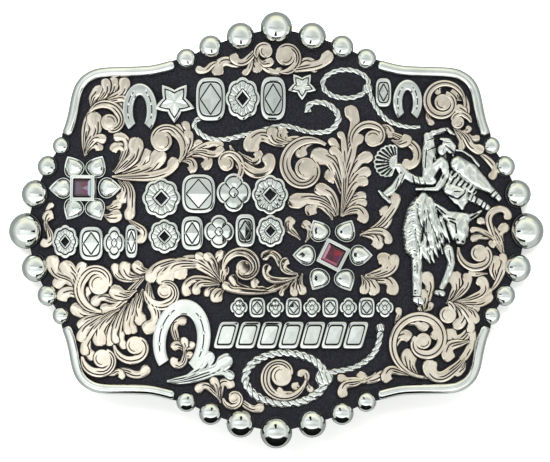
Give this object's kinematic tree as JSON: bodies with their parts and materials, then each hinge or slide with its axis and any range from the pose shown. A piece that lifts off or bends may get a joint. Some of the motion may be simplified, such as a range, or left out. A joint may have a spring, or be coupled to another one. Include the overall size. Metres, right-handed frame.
{
  "type": "western dress belt buckle",
  "caption": "Bowed western belt buckle: black ground, engraved copper scrolls, silver ornament, beaded rim, garnet flowers, cast rodeo figure, belt loop and stud behind.",
  "frame": {"origin": "centre of the footprint on the table, under the lowest points of the loop bar and the stud tip, with the buckle lying on its back", "axes": "+X to the viewer's right along the width, +Y up the face, +Z out of the face"},
  "size_m": [0.1022, 0.083, 0.0167],
  "materials": {
    "blackened_ground": "blackened nickel silver with a fine stipple, bright at the rim and back",
    "silver": "polished silver with bright-cut edges and darkened lines",
    "rose_copper": "hand-engraved rose copper, polished over dark recesses",
    "garnet": "polished step-cut stone",
    "nickel": "satin nickel"
  },
  "bodies": {
    "root": {"base_plate": "blackened_ground", "wire_upper_left": "silver", "wire_upper_right": "silver", "wire_lower_left": "silver", "wire_lower_right": "silver", "bead_top_1": "silver", "bead_top_2": "silver", "bead_top_3": "silver", "bead_top_4": "silver", "bead_top_5": "silver", "bead_top_6": "silver", "bead_top_7": "silver", "bead_bottom_1": "silver", "bead_bottom_2": "silver", "bead_bottom_3": "silver", "bead_bottom_4": "silver", "bead_bottom_5": "silver", "bead_bottom_6": "silver", "bead_bottom_7": "silver", "bead_left_1": "silver", "bead_left_2": "silver", "bead_left_3": "silver", "bead_left_4": "silver", "bead_left_5": "silver", "bead_left_6": "silver", "bead_left_7": "silver", "bead_right_1": "silver", "bead_right_2": "silver", "bead_right_3": "silver", "bead_right_4": "silver", "bead_right_5": "silver", "bead_right_6": "silver", "bead_right_7": "silver", "scroll_crest": "rose_copper", "scroll_upper_left": "rose_copper", "scroll_upper_middle": "rose_copper", "scroll_centre": "rose_copper", "scroll_upper_right": "rose_copper", "scroll_left": "rose_copper", "scroll_lower_left": "rose_copper", "scroll_middle": "rose_copper", "scroll_beside_flower": "rose_copper", "scroll_right": "rose_copper", "scroll_lower_right": "rose_copper", "scroll_horseshoe": "rose_copper", "scroll_swash": "rose_copper", "scroll_lower_middle": "rose_copper", "frieze_upper": "silver", "frieze_conchos": "silver", "frieze_middle": "silver", "frieze_small": "silver", "horseshoe_large": "silver", "frieze_slanted": "silver", "flower_left": "silver", "flower_centre": "silver", "garnet_left": "garnet", "garnet_centre": "garnet", "bull_rider": "silver", "belt_loop": "nickel", "belt_stud": "nickel"}
  },
  "joints": []
}
